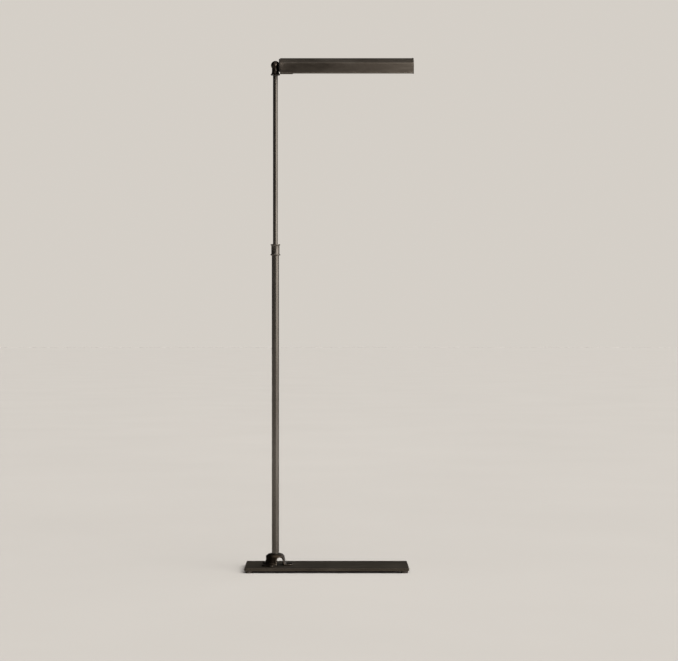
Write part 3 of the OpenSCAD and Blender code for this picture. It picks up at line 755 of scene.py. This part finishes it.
def folded_shade(materials):
    """The shade's folded sheet, with real bend radii, a turned hem and barely uneven faces."""
    outer = [
        (HALF_DEPTH + HEM_OUT, LOW_EDGE, 0.8 * MM),
        (HALF_DEPTH + HEM_OUT, LOW_EDGE + HEM_TALL, 0.6 * MM),
        (HALF_DEPTH, LOW_EDGE + HEM_TALL + 0.4 * MM, 0.4 * MM),
        *trough_side(0, BEND)[1:],
    ]
    inner = trough_side(SHEET, BEND - SHEET)
    outline = sheet_outline(mirrored(outer), mirrored(inner))

    def wave(x, y, z):
        on_skirt = max(0.0, 1 - abs(z + 6 * MM) / (13 * MM)) * (1 if y > 0 else -1)
        return on_skirt * 0.12 * MM * math.sin(x * 31 + y * 40) * math.sin(x * 13 + 0.7)

    xs = evenly(SHADE_X0, SHADE_X1 - CAP_T, 90)
    mesh = swept_along_shade("shade_sheet", outline, xs, wave)
    hole = rod_cutter(middle("switch_nut"), in_shade(0, 1, 0) - in_shade(0, 0, 0), 4.05 * MM, 6 * MM)
    mesh = with_modifiers(
        mesh, "shade_sheet",
        ("BOOLEAN", {"operation": "DIFFERENCE", "object": hole, "solver": "EXACT"}),
        ("BEVEL", {"width": 0.25 * MM, "segments": 2, "angle_limit": math.radians(60)}),
    )
    bpy.data.objects.remove(hole)
    new_piece("shade_sheet", mesh, "shade_bronze", "shade", ["shade_shell"], materials)


def end_cap(materials):
    """Pressed cap with a raised rim and a lip that goes into the shade."""
    back = SHADE_X1 - CAP_T
    floor_x = back + 1.4 * MM
    rim = 3.2 * MM

    def loop(x, inset):
        side = trough_side(inset, max(BEND - inset, 0.6 * MM))
        side[0] = (side[0][0], LOW_EDGE + inset, 0.8 * MM)
        return [in_shade(x, y, z) for y, z in rounded(mirrored(side))]

    inset = -HEM_OUT
    stations = [
        (back, inset), (SHADE_X1 - 0.6 * MM, inset), (SHADE_X1 - 0.18 * MM, inset + 0.18 * MM),
        (SHADE_X1, inset + 0.6 * MM), (SHADE_X1, inset + rim - 0.5 * MM),
        (SHADE_X1 - 0.15 * MM, inset + rim - 0.15 * MM), (SHADE_X1 - 0.5 * MM, inset + rim),
        (floor_x + 0.4 * MM, inset + rim), (floor_x + 0.1 * MM, inset + rim + 0.1 * MM),
        (floor_x, inset + rim + 0.4 * MM),
    ]
    loops = [loop(x, t) for x, t in stations]
    count = len(loops[0])
    points = [p for one in loops for p in one]
    faces = rings(count, len(loops), close=False)
    faces.append(tuple(range(count)))
    faces.append(tuple(range(len(points) - count, len(points))))
    plate = mesh_from("cap_plate", points, faces)
    lip_outside = mirrored(trough_side(SHEET + 0.05 * MM, 1.2 * MM))
    lip_inside = mirrored(trough_side(2 * SHEET, 0.6 * MM))
    lip = swept_along_shade("cap_lip", sheet_outline(lip_outside, lip_inside),
                            [back - CAP_LIP, back - 0.5 * CAP_LIP, back])
    new_piece("end_cap_pressing", joined("end_cap_pressing", [plate, lip]), "shade_bronze", "shade",
              ["outer_end_cap"], materials)


def liner(materials):
    """White enamelled reflector, with rounded bends and a turned lower edge."""
    low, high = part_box("reflector")
    gap = SHEET + 0.6 * MM
    thick = 0.5 * MM
    rise = 3 * MM

    def raised(side):
        return [(side[0][0], side[0][1] + rise, 0), *side[1:]]

    outline = sheet_outline(mirrored(raised(trough_side(gap, 4 * MM))),
                            mirrored(raised(trough_side(gap + thick, 3.5 * MM))), 0.15 * MM)
    mesh = swept_along_shade("reflector_liner", outline, evenly(low.x, high.x, 60))
    new_piece("reflector_liner", mesh, "reflector_white", "shade", ["reflector"], materials)


# ---- Lamp holder and bulb ----

def bulb_axis(x=0.0):
    """A point on the bulb's long axis."""
    return in_shade(x, 0, -BULB_DROP)


def ribbed_ring(materials):
    """Moulded ring that clamps the lamp holder, with finger ribs round it."""
    low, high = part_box("socket_ring")
    outer = (high.y - low.y) / 2 - 0.3 * MM
    ribs = 40

    def rib(angle, radius, height):
        return 0.3 * MM * math.cos(ribs * angle) if radius > outer - 1 * MM else 0

    corners = [
        (15.25 * MM, low.x, 0.3 * MM), (outer, low.x, 0.7 * MM),
        (outer, high.x, 0.9 * MM), (15.25 * MM, high.x, 0.4 * MM),
    ]
    mesh = turned("socket_ring_ribbed", corners, bulb_axis(), "X", 320, rib)
    new_piece("socket_ring_ribbed", mesh, "phenolic", "shade", ["socket_ring"], materials)


def blown_bulb(materials):
    """Tubular envelope with a drawn-in neck and a domed end."""
    low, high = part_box("bulb_glass")
    radius = (high.y - low.y) / 2
    wall = 0.7 * MM
    neck = 12 * MM

    def side(inset):
        r = radius - inset
        dome_x = high.x - radius
        curve = [(r * math.cos(t), dome_x + r * math.sin(t), 0) for t in evenly(0, math.pi / 2, 18)[:-1]]
        return [(neck - inset, low.x + 1 * MM, 0), (neck - inset, low.x + 4 * MM, 9 * MM),
                (r, low.x + 12 * MM, 11 * MM), *curve, (0.01 * MM, dome_x + r, 0)]

    corners = side(0) + list(reversed(side(wall)))
    mesh = turned("bulb_envelope", corners, bulb_axis(), "X", 80, steps=8)
    new_piece("bulb_envelope", mesh, "clear_glass", "shade", ["bulb_glass"], materials, 70)


def screw_cap(materials):
    """The bulb's brass cap, with a rolled thread, a solder tip and a stepped end."""
    low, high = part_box("bulb_base")
    root = 12.35 * MM
    depth = 0.75 * MM
    pitch = 3.6 * MM
    thread_x0 = low.x + 3.2 * MM
    thread_x1 = high.x - 1.2 * MM

    def thread(angle, radius, height):
        if radius < root - 0.1 * MM or not thread_x0 < height < thread_x1:
            return 0
        fade = min(1, (height - thread_x0) / (2 * MM), (thread_x1 - height) / (2 * MM))
        return depth * fade * (0.5 + 0.5 * math.cos(2 * math.pi * height / pitch - angle)) ** 0.7

    line = [(0.01 * MM, low.x, 0), (3.4 * MM, low.x, 0.8 * MM), (4.6 * MM, low.x + 1.1 * MM, 0.3 * MM),
            (9.0 * MM, low.x + 1.7 * MM, 0.4 * MM), (root, low.x + 3.0 * MM, 0.6 * MM)]
    line += [(root, x, 0) for x in evenly(thread_x0, thread_x1, 48)]
    line += [(root + 0.1 * MM, high.x, 0), (root - 0.5 * MM, high.x, 0),
             (root - 0.5 * MM, low.x + 5 * MM, 0), (0.01 * MM, low.x + 5 * MM, 0)]
    mesh = turned("bulb_screw_cap", line, bulb_axis(), "X", 72, thread)
    new_piece("bulb_screw_cap", mesh, "brass", "shade", ["bulb_base"], materials)


def lamp_mount(materials):
    """Glass press, support wires and a coiled filament that runs down one side and back up the other."""
    low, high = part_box("bulb_filament")
    half = 5 * MM
    first = low.x + 24 * MM
    last = high.x - 0.6 * MM
    turns = 90
    points_per_turn = 10
    coil_radius = 0.42 * MM

    def spot(x, y, z=0.0):
        return in_shade(x, y, z - BULB_DROP)

    press = turned("press", [
        (0.01 * MM, low.x, 0), (3.4 * MM, low.x, 1 * MM), (2.4 * MM, low.x + 8 * MM, 4 * MM),
        (2.6 * MM, first - 5 * MM, 1.5 * MM), (0.01 * MM, first - 3.4 * MM, 0)], bulb_axis(), "X", 32)
    parts = [press, swept("spine", [spot(first - 4 * MM, 0), spot(last, 0)], 0.4 * MM)]
    for x in evenly(first, last, 3):
        hook = [spot(x, half * s, 0.9 * MM * (1 - s * s)) for s in evenly(-1, 1, 13)]
        parts.append(swept("hook", hook, 0.18 * MM, 6))
    for side in (-1, 1):
        lead = [spot(first - 4 * MM + t * 4 * MM, side * (1.2 * MM + t * t * (half - 1.2 * MM)))
                for t in evenly(0, 1, 8)]
        parts.append(swept("lead", lead, 0.25 * MM, 6))
        coil = []
        for t in evenly(0, 1, turns * points_per_turn + 1):
            angle = 2 * math.pi * turns * t
            coil.append(spot(first + (last - first) * t, side * half + coil_radius * math.cos(angle),
                             coil_radius * math.sin(angle)))
        parts.append(swept("coil", coil, 0.11 * MM, 5))
    new_piece("bulb_mount", joined("bulb_mount", parts), "filament_steel", "shade", ["bulb_filament"],
              materials)


# ---- Light and floor ----

def make_stage():
    """A plain pale floor."""
    material, tree, shader = new_material("floor")
    faint = cloud(tree, place(tree), 1.3, 4, 0.5)
    tone = ramp(tree, faint, [(0.3, (0.505, 0.491, 0.473)), (0.7, (0.52, 0.506, 0.488))])
    tree.links.new(tone, shader.inputs["Base Color"])
    shader.inputs["Roughness"].default_value = 0.8
    shader.inputs["Specular IOR Level"].default_value = 0.1
    reach = 60
    form = bmesh.new()
    bmesh.ops.create_circle(form, cap_ends=True, segments=96, radius=reach)
    mesh = bpy.data.meshes.new("floor")
    form.to_mesh(mesh)
    form.free()
    mesh.materials.append(material)
    floor = bpy.data.objects.new("floor", mesh)
    bpy.context.scene.collection.objects.link(floor)


def from_angles(azimuth, elevation):
    """Direction towards a place given in degrees right of the camera and above the horizon."""
    a = math.radians(azimuth)
    e = math.radians(elevation)
    return Vector((math.sin(a) * math.cos(e), -math.cos(a) * math.cos(e), math.sin(e)))


def soft_box(tree, towards, squash, full, none, strength):
    """Light from a soft-edged patch of the surroundings; squash below 1 makes the patch tall."""
    direction = add(tree, "ShaderNodeTexCoord").outputs["Generated"]
    flat = add(tree, "ShaderNodeVectorMath", {0: direction, 1: (1, 1, squash)}, operation="MULTIPLY")
    unit = add(tree, "ShaderNodeVectorMath", {0: flat.outputs["Vector"]}, operation="NORMALIZE")
    axis = Vector((towards.x, towards.y, towards.z * squash)).normalized()
    dot = add(tree, "ShaderNodeVectorMath", {0: unit.outputs["Vector"], 1: axis}, operation="DOT_PRODUCT")
    near = math.cos(math.radians(full))
    far = math.cos(math.radians(none))
    inputs = {"Value": dot.outputs["Value"], "From Min": far, "From Max": near,
              "To Min": 0, "To Max": strength}
    return add(tree, "ShaderNodeMapRange", inputs, interpolation_type="SMOOTHSTEP").outputs["Result"]


def make_world():
    """A studio with a tall soft box to the right, a wide weaker one in front and a faint one behind."""
    world = bpy.data.worlds.new("studio")
    bpy.context.scene.world = world
    world.use_nodes = True
    tree = world.node_tree
    tree.nodes.clear()
    light = soft_box(tree, from_angles(60, 14), 0.4, 8, 48, 3.8)
    light = sums(tree, "ADD", light, soft_box(tree, from_angles(16, 60), 0.9, 12, 49, 2.7))
    light = sums(tree, "ADD", light, soft_box(tree, from_angles(138, 30), 0.5, 10, 26, 1.6))
    light = sums(tree, "ADD", light, 0.035)
    lit = add(tree, "ShaderNodeBackground", {"Color": rgba((1.0, 0.965, 0.92)), "Strength": light})
    seen = add(tree, "ShaderNodeBackground", {"Color": rgba(BACKDROP), "Strength": 1.0})
    path = add(tree, "ShaderNodeLightPath").outputs["Is Camera Ray"]
    both = add(tree, "ShaderNodeMixShader")
    tree.links.new(path, both.inputs[0])
    tree.links.new(lit.outputs[0], both.inputs[1])
    tree.links.new(seen.outputs[0], both.inputs[2])
    out = add(tree, "ShaderNodeOutputWorld")
    tree.links.new(both.outputs[0], out.inputs["Surface"])


def soft_spot(name, spot, aim, cone, energy, size):
    """A soft-edged spot that falls on one part of the lamp."""
    data = bpy.data.lights.new(name, "SPOT")
    data.energy = energy
    data.color = (1.0, 0.96, 0.91)
    data.shadow_soft_size = size
    data.spot_size = math.radians(cone)
    data.spot_blend = 1.0
    light = bpy.data.objects.new(name, data)
    light.location = spot
    light.rotation_euler = (Vector(aim) - Vector(spot)).to_track_quat("-Z", "Y").to_euler()
    bpy.context.scene.collection.objects.link(light)


def make_lights():
    """One spot on the shade's free end, a small one on the head and a smaller one on its ball."""
    soft_spot("shade_spot", (0.45, -1.9, 1.75), (SHADE_X1 + 0.06, 0, PIVOT.z), 16, 140, 0.2)
    soft_spot("head_spot", (0.77, -2.15, 1.5), (POLE_X - 0.026, 0, PIVOT.z + 0.004), 1.8, 150, 0.02)
    soft_spot("ball_spot", (0.77, -2.15, 1.5), (POLE_X - 0.012, 0, PIVOT.z + 0.006), 0.8, 700, 0.008)


# ---- The whole scene ----

make_camera()
MATERIALS = make_materials()
dress_nodes(MATERIALS)
for node_name, edge in SOFT_EDGES.items():
    soften(node_name, edge)
cast_bracket(MATERIALS)
turned_collar(MATERIALS)
turned_cap(MATERIALS)
turned_head(MATERIALS)
folded_shade(MATERIALS)
end_cap(MATERIALS)
liner(MATERIALS)
ribbed_ring(MATERIALS)
blown_bulb(MATERIALS)
screw_cap(MATERIALS)
lamp_mount(MATERIALS)
make_stage()
make_world()
make_lights()
bpy.context.scene.view_settings.view_transform = "Standard"

bpy.context.view_layer.update()
